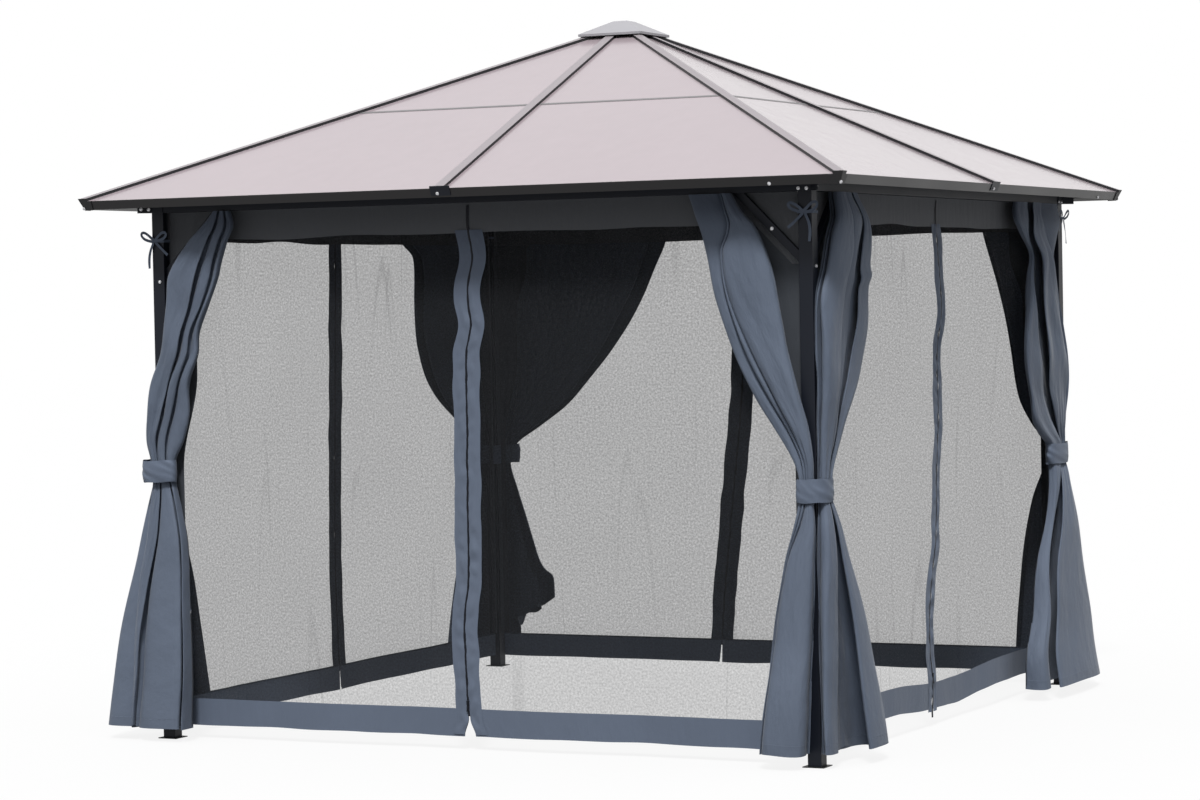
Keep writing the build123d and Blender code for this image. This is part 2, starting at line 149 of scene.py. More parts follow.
class Finish:
    """A node tree, with one method that adds any node."""

    def __init__(self, tree):
        self.tree = tree

    def node(self, kind, settings=(), sockets=(), out=0):
        made = self.tree.nodes.new(kind)
        for name, value in dict(settings).items():
            setattr(made, name, value)
        for name, value in dict(sockets).items():
            socket = made.inputs[name]
            if isinstance(value, Wire):
                self.tree.links.new(value.socket, socket)
            else:
                socket.default_value = value
        return Wire(self, made.outputs[out])

    def place(self):
        return self.node("ShaderNodeTexCoord", out="Object")

    def flat(self):
        return self.node("ShaderNodeUVMap", {"uv_map": "UVMap"}, out="UV")

    def axes(self, vector):
        first = self.node("ShaderNodeSeparateXYZ", (), {"Vector": vector})
        return [Wire(self, socket) for socket in first.socket.node.outputs]

    def stretch(self, vector, scale):
        return self.node("ShaderNodeVectorMath", {"operation": "MULTIPLY"}, {0: vector, 1: scale})

    def noise(self, vector, scale, detail=3.0):
        return self.node("ShaderNodeTexNoise", (), {"Vector": vector, "Scale": scale, "Detail": detail})

    def blend(self, mask, first, second):
        sockets = {0: mask, 6: first, 7: second}
        return self.node("ShaderNodeMix", {"data_type": "RGBA"}, sockets, out=2)

    def shade(self, colour, level):
        """A colour made lighter or darker by a wire."""
        return self.node("ShaderNodeVectorMath", {"operation": "SCALE"}, {0: colour, "Scale": level})

    def look(self):
        """The three axes of the way a face looks."""
        return self.axes(self.node("ShaderNodeNewGeometry", out="Normal"))

    def bump(self, height):
        """height is in metres."""
        return self.node("ShaderNodeBump", (), {"Strength": 1.0, "Distance": 1.0, "Height": height})


class Paint(Finish):
    """A material with one Principled shader."""

    def __init__(self, name, constants):
        self.material = bpy.data.materials.new(name)
        self.material.use_nodes = True
        super().__init__(self.material.node_tree)
        self.shader = self.tree.nodes["Principled BSDF"]
        for socket, value in constants.items():
            self.shader.inputs[socket].default_value = value

    def feed(self, **wires):
        for name, wire in wires.items():
            self.tree.links.new(wire.socket, self.shader.inputs[name.replace("_", " ")])
        return self.material


print("finish tools ready")

# %% [markdown]
# ## Light and floor
# The gazebo stands on plain white in bright, soft daylight that comes mostly from above and from the
# front. So the sky is brighter overhead than at the horizon, leans to the front and is dimmer at both
# sides, which leaves the room under the roof dark. Camera, glossy and transmission rays see white.

# %% Sky, sun and floor
sky_low = 0.07
sky_high = 1.14
sky_full = 0.9
sky_lean = 0.22
sky_side = 0.3
sky_wings = 0.4
sun_strength = 2.7
sun_from = Vector((0.22, -0.53, 0.82))
sun_spread = math.radians(10)
floor_size = 120.0
floor_seen = (0.66, 0.66, 0.66, 1.0)
floor_bounce = (0.17, 0.17, 0.17, 1.0)
floor_glow = 0.87
floor_grain = 0.04
floor_grain_scale = 1.5
white = (1.0, 1.0, 1.0, 1.0)


def seen_plainly(finish):
    """1 for rays that show the background itself."""
    path = finish.node("ShaderNodeLightPath", out="Is Camera Ray")
    outputs = path.socket.node.outputs
    glossy = Wire(finish, outputs["Is Glossy Ray"])
    through = Wire(finish, outputs["Is Transmission Ray"])
    return path.above(glossy).above(through)


world = bpy.data.worlds.new("sky")
world.use_nodes = True
scene.world = world
sky = Finish(world.node_tree)
sky_right, sky_back, sky_height = sky.axes(sky.node("ShaderNodeTexCoord", out="Generated"))
sky_light = sky_low + (sky_high - sky_low) * sky_height.ramp(0.0, sky_full)
sky_light = sky_light * (1 + sky_lean * (sky_side * sky_right - sky_back))
sky_light = sky_light * (1 - sky_wings * (sky_right * sky_right))
plain = seen_plainly(sky)
sky_background = world.node_tree.nodes["Background"]
sky_background.inputs["Color"].default_value = white
sky_strength = plain + (1 - plain) * sky_light
world.node_tree.links.new(sky_strength.socket, sky_background.inputs["Strength"])

bpy.ops.object.light_add(type="SUN")
sun = bpy.context.object
sun.name = "sun"
sun.data.energy = sun_strength
sun.data.angle = sun_spread
sun.rotation_euler = sun_from.to_track_quat("Z", "Y").to_euler()

bpy.ops.mesh.primitive_plane_add(size=floor_size)
floor = bpy.context.object
floor.name = "floor"
floor_paint = Paint("pale_floor", {"Roughness": 0.9, "Specular IOR Level": 0.0})
floor_shown = seen_plainly(floor_paint)
floor_noise = floor_paint.noise(floor_paint.place(), floor_grain_scale)
floor_colour = floor_paint.blend(floor_shown, floor_bounce, floor_seen)
floor_paint.feed(Base_Color=floor_paint.shade(floor_colour, floor_noise.around(1.0, floor_grain)))
glow = floor_paint.node("ShaderNodeEmission", (), {"Color": white, "Strength": 1.0})
lit = Wire(floor_paint, floor_paint.shader.outputs["BSDF"])
mixed = floor_paint.node("ShaderNodeMixShader", (), {0: floor_glow * floor_shown, 1: lit, 2: glow})
floor_end = floor_paint.tree.nodes["Material Output"]
floor_paint.tree.links.new(mixed.socket, floor_end.inputs["Surface"])
floor.data.materials.append(floor_paint.material)
floor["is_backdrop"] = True
print("light and floor made")

# %% [markdown]
# ## Painted metal
# The posts, beams and fascia are steel and aluminium under a satin powder coat, almost black. Powder
# coat melts into a faint orange-peel texture, so a fine noise drives the bump and a broad one makes
# the gloss uneven. Dust settles on faces that look up.

# %% Powder coats
cloud_scale = 3.5
peel_scale = 420.0
peel_height = 0.00003
dust_grey = (0.42, 0.41, 0.39, 1.0)


def powder_coat(name, tone, gloss, dust=0.02, peel=peel_height, specular=0.3):
    coat = Paint(name, {"Specular IOR Level": specular})
    place = coat.place()
    broad = coat.noise(place, cloud_scale)
    fine = coat.noise(place, peel_scale, 1.0)
    dusty = coat.look()[2].ramp(0.3, 0.95) * broad * dust
    colour = coat.shade(tone, broad.around(1.0, 0.3))
    return coat.feed(
        Base_Color=coat.blend(dusty, colour, dust_grey),
        Roughness=broad.around(gloss, 0.12) + 0.04 * fine,
        Normal=coat.bump(fine * peel),
    )


frame_black = powder_coat("frame_paint", (0.007, 0.009, 0.015), 0.42, specular=0.2)
fascia_black = powder_coat("fascia_paint", (0.010, 0.009, 0.010), 0.36, dust=0.05)
foot_black = powder_coat("foot_paint", (0.006, 0.007, 0.007), 0.4, dust=0.05)
corner_black = powder_coat("corner_plastic", (0.012, 0.012, 0.013), 0.5, peel=0.00005)
strip_grey = powder_coat("strip_finish", (0.17, 0.165, 0.17), 0.4, dust=0.0)
crown_grey = powder_coat("crown_finish", (0.34, 0.335, 0.357), 0.42, dust=0.0)
print("powder coats made")

# %% [markdown]
# ## Rafters in two tones
# Each rafter is a dark box with a pale capping screwed down over the edges of the panels. The CAD
# keeps both in one node, so the finish tells them apart by the way a face looks: up is capping. Every
# other face is black, which is partly the dark box and partly painted shade on the capping's sides.

# %% Rafter finish
capping_grey = (0.285, 0.258, 0.274)
# Black for every face that doesn't look up: the dark box, and painted shade on the capping's sides
box_black_and_side_shade = (0.010, 0.010, 0.012, 1.0)
rafter_cloud_scale = 4.0


def rafter_finish():
    coat = Paint("rafter_finish", {"Specular IOR Level": 0.35})
    place = coat.place()
    broad = coat.noise(place, rafter_cloud_scale)
    fine = coat.noise(place, peel_scale, 1.0)
    capping = coat.look()[2].ramp(0.55, 0.7)
    pale = coat.shade(capping_grey, broad.around(1.0, 0.2))
    return coat.feed(
        Base_Color=coat.blend(capping, box_black_and_side_shade, pale),
        Roughness=broad.around(0.42, 0.12),
        Normal=coat.bump(fine * peel_height),
    )


rafter_paint = rafter_finish()
print("rafter finish made")

# %% [markdown]
# ## Twin-wall roof panels
# The panels are extruded plastic with hidden walls that run up the slope. They show as fine pale
# lines on each panel. They repeat along X on the front and back slopes and along Y on the others, so
# the finish picks the axis by the slope's own normal.

# %% Panel finish
flute_pitch = 0.0105
flute_height = 0.00004
panel_tint = (0.345, 0.29, 0.312)


def panel_finish():
    sheet = Paint("panel_sheet", {"IOR": 1.6, "Coat Weight": 0.35, "Coat Roughness": 0.12})
    place = sheet.place()
    x, y = sheet.axes(place)[:2]
    look = sheet.look()
    front = look[1].size() > look[0].size()
    across = x * front + y * (1 - front)
    flute = (across * (TAU / flute_pitch)).sine()
    cloud = sheet.noise(place, 1.6, 2.0)
    streak = sheet.noise(sheet.stretch(place, (14.0, 14.0, 2.0)), 1.0, 2.0)
    level = 0.93 + 0.015 * flute + 0.06 * cloud + 0.06 * streak
    return sheet.feed(
        Base_Color=sheet.shade(panel_tint, level),
        Roughness=streak.around(0.24, 0.08),
        Normal=sheet.bump(flute * flute_height),
    )


panel_paint = panel_finish()
print("panel finish made")

# %% Paint the frame
node_paints = {
    ("post_", "ring_beam_", "rafter_brackets", "corner_braces", "crown_hub"): frame_black,
    ("base_plate_",): foot_black,
    ("fascia_",): fascia_black,
    ("eave_corner_caps",): corner_black,
    ("hip_rafters", "middle_rafters"): rafter_paint,
    ("roof_panels_",): panel_paint,
    ("panel_joint_strips",): strip_grey,
    ("crown_cap",): crown_grey,
}
for starts, paint in node_paints.items():
    for node_name, node_object in nodes.items():
        if node_name.startswith(starts):
            node_object.data.materials.clear()
            node_object.data.materials.append(paint)
print("frame painted")

# %% [markdown]
# ## Curtain cloth
# The curtains, hems and tapes are slate-blue polyester cloth with a soft sheen. The valances are greyer
# and a little darker, partly painted shade of the eave, and the borders of the nets are much darker,
# which is painted shade. The plain weave, the uneven yarns and the stitching along the hem follow the
# cloth itself, so they read the UV map, which is in metres of flat cloth.

# %% Cloth and net finishes
yarn_pitch = 0.0016
hem_width = 0.035
stitch_pitch = 0.005
stitch_half = 0.0011
stitch_share = 0.62
stitch_height = 0.0003
hem_step = 0.0006
weave_height = 0.00006
slub_height = 0.00016


def cloth_finish(name, tone, creased, hemmed=False):
    cloth = Paint(name, {"Specular IOR Level": 0.3, "Sheen Weight": 0.12, "Sheen Roughness": 0.4})
    flat = cloth.flat()
    across, along = cloth.axes(flat)[:2]
    weave = (across * (TAU / yarn_pitch)).sine() * (along * (TAU / yarn_pitch)).sine()
    slub = cloth.noise(cloth.stretch(flat, (320.0, 14.0, 1.0)), 1.0, 2.0)
    faded = cloth.noise(flat, 3.0)
    crease = cloth.noise(cloth.stretch(flat, (30.0, 7.0, 1.0)), 1.0, 5.0)
    level = 0.84 + 0.04 * weave + 0.1 * slub + 0.18 * faded
    height = weave * weave_height + slub * slub_height + crease * creased
    if hemmed:
        stitched = (across / stitch_pitch).part() < stitch_share
        seam = ((along - hem_width).size() < stitch_half) * stitched
        turned = along < hem_width
        level = level + 0.16 * seam - 0.05 * turned
        height = height + turned * hem_step + seam * stitch_height
    return cloth.feed(
        Base_Color=cloth.shade(tone, level),
        Roughness=slub.around(0.72, 0.2),
        Normal=cloth.bump(height),
    )


net_pitch = 0.003
net_tone = (0.032, 0.034, 0.038)
net_cover = 0.37
thread_cover = 0.12
thread_middle = 0.4
grain_cover = 0.6
cloud_cover = 0.06
wrinkle_cover = 0.1


def net_finish():
    net = Paint("net_cloth", {"Roughness": 0.8, "Specular IOR Level": 0.2})
    flat = net.flat()
    across, along = net.axes(flat)[:2]
    upright = (across * (TAU / net_pitch)).sine()
    level = (along * (TAU / net_pitch)).sine()
    thread = upright.above(level)
    grain = net.noise(flat, 130.0, 2.0)
    cloud = net.noise(flat, 2.0, 2.0)
    lean = net.noise(net.stretch(flat, (5.0, 0.4, 1.0)), 1.0, 1.0)
    here = net.noise(net.stretch(flat, (2.6, 0.9, 1.0)), 1.0, 1.0).ramp(0.48, 0.68)
    wrinkle = here * (1 - (lean - 0.5).size().ramp(0.003, 0.014))
    uneven = grain.around(0.0, grain_cover) + cloud.around(0.0, cloud_cover)
    return net.feed(
        Base_Color=net.shade(net_tone, cloud.around(1.0, 0.4)),
        Alpha=net_cover + thread_cover * (thread - thread_middle) + uneven + wrinkle_cover * wrinkle,
    )


curtain_cloth = cloth_finish("curtain_cloth", (0.115, 0.142, 0.194), 0.009, hemmed=True)
trim_cloth = cloth_finish("trim_cloth", (0.124, 0.153, 0.210), 0.002)
# Greyer than the curtains and a little darker: the darker tone is partly painted shade of the eave
valance_cloth_with_painted_shade = cloth_finish("valance_cloth_with_painted_shade", (0.122, 0.129, 0.142), 0.003)
# Much darker than the curtains: painted shade of the cloth beside the posts
border_cloth_painted_shade = cloth_finish("border_cloth_painted_shade", (0.055, 0.062, 0.074), 0.003)
net_cloth = net_finish()
zip_black = powder_coat("zip_plastic", (0.006, 0.007, 0.011), 0.5, dust=0.0, peel=0.0001, specular=0.15)
print("cloth finishes made")

# %% [markdown]
# ## Sheets on four sides
# Every sheet starts as a flat grid whose UV map is scaled to metres, and each of its points is then
# moved to where it hangs. A point is given by how far it is along a side, how far out and how high,
# and turned to its side: front, right, back or left.

# %% Sheet helpers
side_names = ("front", "right", "back", "left")
post_half_span = 1.292


def on_side(turn, along, out, height):
    x = along
    y = -out
    for quarter in range(turn):
        x, y = -y, x
    return Vector((x, y, height))


def waver(x, y, z):
    """Smooth noise about zero."""
    return noise.noise(Vector((x, y, z)))


def smooth(low, high, value):
    share = min(1.0, max(0.0, (value - low) / (high - low)))
    return share * share * (3 - 2 * share)


def between(first, second, share):
    return first + (second - first) * share


def at_height(rows, height):
    """A smooth reading of rows (height, value, ...) listed from the top down."""
    tops = [row[0] for row in rows]
    if height >= tops[0]:
        return rows[0][1:]
    if height <= tops[-1]:
        return rows[-1][1:]
    upper = max(i for i, top in enumerate(tops) if top >= height)
    first = rows[upper]
    second = rows[upper + 1]
    step = second[0] - first[0]
    share = (height - first[0]) / step
    before = rows[max(0, upper - 1)]
    after = rows[min(len(rows) - 1, upper + 2)]
    values = []
    for i in range(1, len(first)):
        slope_a = (second[i] - before[i]) / (second[0] - before[0])
        slope_b = (after[i] - first[i]) / (after[0] - first[0])
        a = (1 + 2 * share) * (1 - share) ** 2 * first[i]
        b = share * (1 - share) ** 2 * step * slope_a
        c = share ** 2 * (3 - 2 * share) * second[i]
        d = share ** 2 * (share - 1) * step * slope_b
        values.append(a + b + c + d)
    return values


def sheet_from(name, flat, cells, place, cloth):
    """A grid of cells, each point moved to place(across share, up share)."""
    bpy.ops.object.select_all(action="DESELECT")
    bpy.ops.mesh.primitive_grid_add(x_subdivisions=cells[0], y_subdivisions=cells[1], size=1.0)
    piece = bpy.context.object
    piece.name = name
    piece.data.name = name
    for vertex in piece.data.vertices:
        vertex.co = place(vertex.co.x + 0.5, vertex.co.y + 0.5)
    for corner in piece.data.uv_layers.active.data:
        corner.uv = (corner.uv[0] * flat[0], corner.uv[1] * flat[1])
    piece.data.materials.append(cloth)
    bpy.ops.object.shade_smooth()
    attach(piece, "root")
    return piece


def area_share(piece, flat):
    return round(sum(face.area for face in piece.data.polygons) / (flat[0] * flat[1]), 3)


print("sheet helpers ready")

# %% [markdown]
# ## Net walls
# Each side has a net wall in the inner hook track: a fine dark net with a cloth valance along the
# top, a hem along the bottom, a border at each post and a zip down the middle between two strips.
# The strips are gathered by the stiff zip, so they wander and crumple.

# %% Net wall values
net_half = 1.248
net_out = 1.276
net_top = 1.945
net_bottom = 0.05
valance_bottom = 1.838
hem_top = 0.148
border_width = 0.09
border_gap = 0.0175
trim_stand = 0.0016
hem_stand = 0.0026
strip_stand = 0.0041
zip_stand = 0.0046
net_lap = 0.006
valance_dip = 0.009
hem_sag = 0.006
hem_slit = 0.0025
notch_top = 0.115
sway_broad = 0.006
sway_fine = 0.0035
sway_low = 0.01
zip_half = 0.0035
zip_tape_half = 1.45 * zip_half
zip_swell = 0.0016
# Heights and places along the side
zip_lines = {
    "front": (
        (1.945, -0.013), (1.854, -0.012), (1.755, 0.002), (1.635, -0.019), (1.511, -0.01),
        (1.406, -0.03), (1.175, -0.032), (0.891, -0.036), (0.607, -0.038), (0.5, -0.054),
        (0.393, -0.058), (0.251, -0.053), (0.05, -0.044)),
    "right": (
        (1.945, -0.03), (1.833, -0.034), (1.734, -0.018), (1.53, 0.004), (1.383, -0.045),
        (1.124, -0.047), (0.903, -0.078), (0.683, -0.099), (0.539, -0.148), (0.357, -0.178),
        (0.171, -0.155), (0.05, -0.161)),
    "back": (
        (1.945, 0.06), (1.856, 0.066), (1.202, 0.093), (0.737, 0.144), (0.312, 0.19), (0.05, 0.208)),
    "left": (
        (1.945, 0.05), (1.855, 0.053), (1.212, 0.081), (0.57, 0.108), (0.05, 0.09)),
}
# One value for each side: front, right, back and left
notches = (0.02, 0.006, 0.003, 0.003)
strip_widths = (0.05, 0.04, 0.05, 0.046)
strip_twists = (0.12, 0.5, 0.15, 0.15)
hem_rises = (0.0, 0.034, 0.0, 0.0)
zip_wobbles = (0.003, 0.008, 0.002, 0.002)
zip_ends = (0.122, 0.034, 0.122, 0.122)
pull_heights = (0.17, 0.19, 0.17, 0.17)
print("zips on", len(zip_lines), "sides")


# %% Net wall pieces
def wall_sway(turn, along, height):
    """How far the net swings out of its plane: none at the track, most at the bottom."""
    free = smooth(net_top, net_top - 0.5, height)
    broad = waver(along * 2.2, height * 0.5, turn * 7.3)
    fine = waver(along * 9.0, height * 1.1, turn * 3.1 + 20.0)
    low = smooth(0.6, net_bottom, height)
    loose = smooth(net_half, net_half - 0.35, abs(along))
    return loose * (free * (sway_broad * broad + sway_fine * fine) + low * sway_low * broad)


def net_wall(turn):
    side = side_names[turn]
    zip_line = zip_lines[side]
    strip_width = strip_widths[turn]
    strip_twist = strip_twists[turn]

    def on_wall(along, height, stand):
        return on_side(turn, along, net_out + wall_sway(turn, along, height) + stand, height)

    def zip_at(height):
        wobble = zip_wobbles[turn] * waver(height * 13.0, 2.0, turn * 6.0)
        return at_height(zip_line, height)[0] + wobble

    def notch_at(height):
        return notches[turn] * smooth(notch_top, net_bottom, height)

    def add_trim(name, flat, cells, place, cloth):
        sheet_from(name, flat, cells, place, cloth)

    def net_place(u, v):
        return on_wall((u - 0.5) * 2 * net_half, between(hem_top - net_lap, net_top, v), 0.0)

    net_flat = (2 * net_half, net_top - hem_top)
    net = sheet_from("net_" + side, net_flat, (120, 60), net_place, net_cloth)

    def valance_place(u, v):
        along = (u - 0.5) * 2 * net_half
        dip = valance_dip * waver(along * 3.2, 3.0, turn)
        return on_wall(along, between(valance_bottom + dip, net_top, v), trim_stand)

    valance_flat = (2 * net_half, net_top - valance_bottom)
    add_trim("valance_" + side, valance_flat, (120, 8), valance_place, valance_cloth_with_painted_shade)

    for end, word in ((-1, "a"), (1, "b")):
        def hem_place(u, v, end=end):
            height = between(net_bottom, hem_top, v)
            inner = zip_at(height) + end * (hem_slit + notch_at(height))
            along = between(inner, end * net_half, u)
            sag = hem_sag * waver(along * 4.0, 9.0, turn) * (1 - v)
            rise = hem_rises[turn] * (0.35 + 0.65 * smooth(0.1, 0.55, abs(along)))
            return on_wall(along, height + sag + rise, hem_stand)

        hem_flat = (net_half, hem_top - net_bottom)
        add_trim("hem_%s_%s" % (side, word), hem_flat, (80, 8), hem_place, trim_cloth)

        def border_place(u, v, end=end):
            height = between(hem_top, valance_bottom, v)
            # Near the top the border widens to reach the curtain, so its painted shade fills the gap beside
            # the post
            wide = 0.25 + 0.75 * smooth(1.0, 1.35, height) + 0.6 * smooth(1.55, 1.75, height)
            inner = net_half - border_width * wide
            return on_wall(end * between(net_half + border_gap, inner, u), height, trim_stand)

        border_flat = (border_width + border_gap, valance_bottom - hem_top)
        add_trim("border_%s_%s" % (side, word), border_flat, (4, 60), border_place, border_cloth_painted_shade)

        def strip_place(u, v, end=end):
            height = between(net_bottom + 0.006, valance_bottom + 0.01, v)
            edge = 0.004 * waver(height * 9.0, end * 5.0, turn * 3.0)
            twist = 1.0 - strip_twist * waver(height * 7.0, end * 3.0, turn + 30.0)
            wide = u * (strip_width * twist + edge)
            along = zip_at(height) + end * (zip_half * 0.95 + notch_at(height) + wide)
            pucker = waver(height * 26.0, end * 4.0 + u * 1.5, turn * 2.0)
            raised = 0.002 + (0.004 + strip_twist * 0.01) * pucker
            lift = math.sin(math.pi * min(1.0, u + 0.15)) * raised
            return on_wall(along, height, strip_stand + lift)

        strip_flat = (strip_width, valance_bottom - net_bottom)
        add_trim("zip_strip_%s_%s" % (side, word), strip_flat, (8, 200), strip_place, trim_cloth)

    def tape_place(u, v):
        height = between(zip_ends[turn], net_top - 0.01, v)
        half = zip_tape_half + zip_half * smooth(0.09, 0.06, height)
        along = zip_at(height) + (u - 0.5) * 2 * half
        return on_wall(along, height, zip_stand + zip_swell * math.cos((u - 0.5) * math.pi))

    tape_flat = (2 * zip_tape_half, net_top - net_bottom)
    add_trim("zip_" + side, tape_flat, (4, 120), tape_place, zip_black)
    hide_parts("net_wall_" + side)
    print(side, "net area share", area_share(net, net_flat))


for turn in range(4):
    net_wall(turn)

# %% [markdown]
# ## Curtains
# Two curtains hang at each post, gathered to it and tied at about half height. In plan a gathered
# curtain is one long line that folds to and fro: broad smooth pleats in front, and the rest of its
# width packed behind them. So each curtain is one grid, whose columns follow that line and whose rows
# squeeze it to the curtain's width at each height.

# %% Folded line in plan
curtain_top = 1.943
hem_height = 0.05
tie_height = 0.08
curtain_flat = (1.30, 1.90)
curtain_cells = (220, 130)


def spline_point(points, share):
    """A point of the cubic B-spline that starts and ends at its end points."""
    held = [points[0]] * 2 + list(points) + [points[-1]] * 2
    spans = len(held) - 3
    whole = min(spans - 1, int(share * spans))
    t = share * spans - whole
    weights = ((1 - t) ** 3, 3 * t ** 3 - 6 * t ** 2 + 4, -3 * t ** 3 + 3 * t ** 2 + 3 * t + 1, t ** 3)
    size = len(points[0])
    return [sum(w * p[i] for w, p in zip(weights, held[whole:whole + 4])) / 6 for i in range(size)]


def pleats(shares, rolls):
    """Front pleats from the free edge (1) to the post side (0): a width and a depth share each.

    The last pleat has only a depth, because it takes the width that is left. A pleat rolls over its
    post-side edge and tucks back under itself. Where its roll is odd, it does so over its bay-side
    edge. From 2 on, the tuck is deep and leaves a dark hollow under the edge.
    """
    rolled = ((0.03, 0.62), (0.1, 0.82), (0.25, 0.95), (0.5, 1.0), (0.76, 0.98),
              (0.96, 0.92), (1.03, 0.66), (0.98, 0.28), (0.95, 0.1))
    tucked = rolled[:5] + ((0.96, 0.96), (1.02, 0.9), (0.9, 0.8), (0.55, 0.66), (0.25, 0.4),
                           (0.45, 0.12), (0.85, 0.1))
    line = [(1.0, shares[1] * 0.5)]
    edge = 1.0
    for i, roll in enumerate(rolls):
        last = i == len(rolls) - 1
        width = edge if last else shares[2 * i]
        depth = shares[-1] if last else shares[2 * i + 1]
        shape = tucked if roll > 1 else rolled
        shape = [(1 - across, proud) for across, proud in reversed(shape)] if roll % 2 else shape
        line.extend((edge - across * width, proud * depth) for across, proud in shape)
        edge = edge - width
    return line


def packed(count, low, high, proud):
    """Passes to and fro behind the front pleats, each a little nearer to the post."""
    line = []
    steps = 4
    for i in range(count):
        depth = proud * (1 - (i + 0.5) / count)
        for k in range(steps + 1):
            forward = k / steps if i % 2 == 0 else 1 - k / steps
            line.append((between(low, high, forward), depth + 0.2 * proud * (k % 2)))
    return line


def even_shares(points, span, depth, count):
    """Shares along a folded line that are evenly spaced along the cloth."""
    steps = 1200
    lengths = [0.0]
    last = spline_point(points, 0.0)
    for i in range(1, steps + 1):
        here = spline_point(points, i / steps)
        step = math.hypot((here[0] - last[0]) * span, (here[1] - last[1]) * depth)
        lengths.append(lengths[-1] + step)
        last = here
    shares = []
    k = 0
    for i in range(count + 1):
        wanted = lengths[-1] * i / count
        while k < steps and lengths[k + 1] < wanted:
            k += 1
        step = max(1e-9, lengths[min(k + 1, steps)] - lengths[k])
        shares.append(min(1.0, (k + (wanted - lengths[k]) / step) / steps))
    return shares


print("folded line tools ready")

# %% [markdown]
# ## Where each curtain hangs
# The edges give heights from the track down and how far the curtain reaches there from
# the middle of its post, at its near edge and at its far one. The folds give the front pleats at a few
# heights, from the free edge to the post: the share of the width that each takes, and how proud it
# stands. The last pleat takes the width that is left.

# %% Front curtains
curtains = {}
curtains["front_right"] = dict(
    turn=0, end=1, tie=0.976, rolls=(1, 1, 1),
    edges=(
        (1.944, 0.262, 0.425), (1.885, 0.222, 0.4), (1.83, 0.168, 0.378), (1.72, 0.118, 0.349),
        (1.58, 0.085, 0.322), (1.41, 0.055, 0.262), (1.24, 0.015, 0.177), (1.14, -0.01, 0.112),
        (1.04, -0.022, 0.052), (0.976, -0.022, 0.03), (0.896, -0.022, 0.03), (0.81, -0.03, 0.048),
        (0.7, -0.03, 0.078), (0.57, -0.028, 0.1), (0.4, -0.022, 0.124), (0.23, -0.016, 0.146),
        (0.05, -0.006, 0.166)),
    folds=(
        (1.94, 0.74, 0.7, 0.05, 0.85, 1.0), (1.87, 0.62, 0.7, 0.05, 0.85, 1.0),
        (1.81, 0.45, 0.66, 0.05, 0.82, 1.0), (1.74, 0.25, 0.6, 0.05, 0.8, 1.0),
        (1.55, 0.2, 0.6, 0.06, 0.8, 1.0), (1.34, 0.27, 0.62, 0.13, 0.8, 1.0),
        (1.12, 0.4, 0.7, 0.16, 0.85, 1.0), (1.0, 0.44, 0.85, 0.16, 0.9, 1.0),
        (0.86, 0.24, 0.8, 0.14, 0.9, 1.0), (0.72, 0.08, 0.7, 0.06, 0.8, 1.0),
        (0.05, 0.06, 0.6, 0.04, 0.8, 1.0)))
curtains["front_left"] = dict(
    turn=0, end=-1, tie=1.033, skirt=0.105, rumpled=0.02, rolls=(1, 3, 3),
    edges=(
        (1.944, 0.255, 0.315), (1.885, 0.205, 0.335), (1.83, 0.152, 0.315), (1.75, 0.085, 0.285),
        (1.7, 0.058, 0.27), (1.6, 0.055, 0.224), (1.5, 0.042, 0.18), (1.42, 0.02, 0.174),
        (1.31, -0.028, 0.134), (1.2, -0.044, 0.13), (1.1, -0.054, 0.098), (1.033, -0.04, 0.064),
        (0.952, -0.032, 0.064), (0.835, -0.045, 0.092), (0.74, -0.055, 0.112), (0.565, -0.085, 0.125),
        (0.39, -0.096, 0.13), (0.21, -0.097, 0.132), (0.05, -0.099, 0.13)),
    folds=(
        (1.94, 0.25, 0.7, 0.35, 0.85, 1.0), (1.8, 0.15, 0.6, 0.27, 0.8, 1.0),
        (1.6, 0.12, 0.55, 0.24, 0.78, 1.0), (1.5, 0.18, 0.55, 0.2, 0.78, 1.0),
        (1.4, 0.22, 0.55, 0.22, 0.78, 1.0), (1.3, 0.24, 0.6, 0.22, 0.8, 1.0),
        (1.2, 0.38, 0.65, 0.22, 0.82, 1.0), (1.09, 0.42, 0.75, 0.27, 0.88, 1.0),
        (0.9, 0.1, 0.9, 0.5, 1.0, 0.96), (0.62, 0.04, 0.98, 0.72, 1.0, 0.98),
        (0.05, 0.03, 0.98, 0.92, 1.0, 0.95)))
print("front curtains:", len(curtains))

# %% Right curtains
curtains["right_front"] = dict(
    turn=1, end=-1, tie=0.976, skirt=0.125, rolls=(2, 0, 1), behind=(4, 0.1, 0.84), kink=0.018,
    edges=(
        (1.944, 0.15, 0.36), (1.87, 0.13, 0.42), (1.8, 0.08, 0.445), (1.69, 0.025, 0.425),
        (1.6, -0.026, 0.41), (1.5, -0.036, 0.395), (1.4, -0.038, 0.355), (1.3, -0.036, 0.295),
        (1.2, -0.032, 0.21), (1.1, -0.028, 0.14), (1.02, -0.026, 0.07), (0.976, -0.026, 0.042),
        (0.896, -0.026, 0.042), (0.81, -0.046, 0.085), (0.72, -0.06, 0.12), (0.56, -0.076, 0.185),
        (0.38, -0.088, 0.245), (0.2, -0.094, 0.285), (0.05, -0.096, 0.312)),
    folds=(
        (1.94, 0.27, 0.75, 0.37, 0.8, 1.0), (1.85, 0.2, 0.75, 0.35, 0.8, 1.0),
        (1.76, 0.28, 0.75, 0.24, 0.62, 1.0), (1.66, 0.3, 0.7, 0.3, 0.5, 1.0),
        (1.5, 0.32, 0.7, 0.32, 0.46, 1.0), (1.34, 0.36, 0.75, 0.3, 0.5, 1.0),
        (1.1, 0.32, 0.9, 0.28, 0.75, 1.0), (0.93, 0.4, 1.0, 0.12, 0.6, 1.0),
        (0.72, 0.46, 1.0, 0.08, 0.4, 0.85), (0.52, 0.5, 1.0, 0.12, 0.2, 0.6),
        (0.25, 0.54, 1.0, 0.17, 0.14, 0.4), (0.05, 0.54, 1.0, 0.19, 0.14, 0.34)))
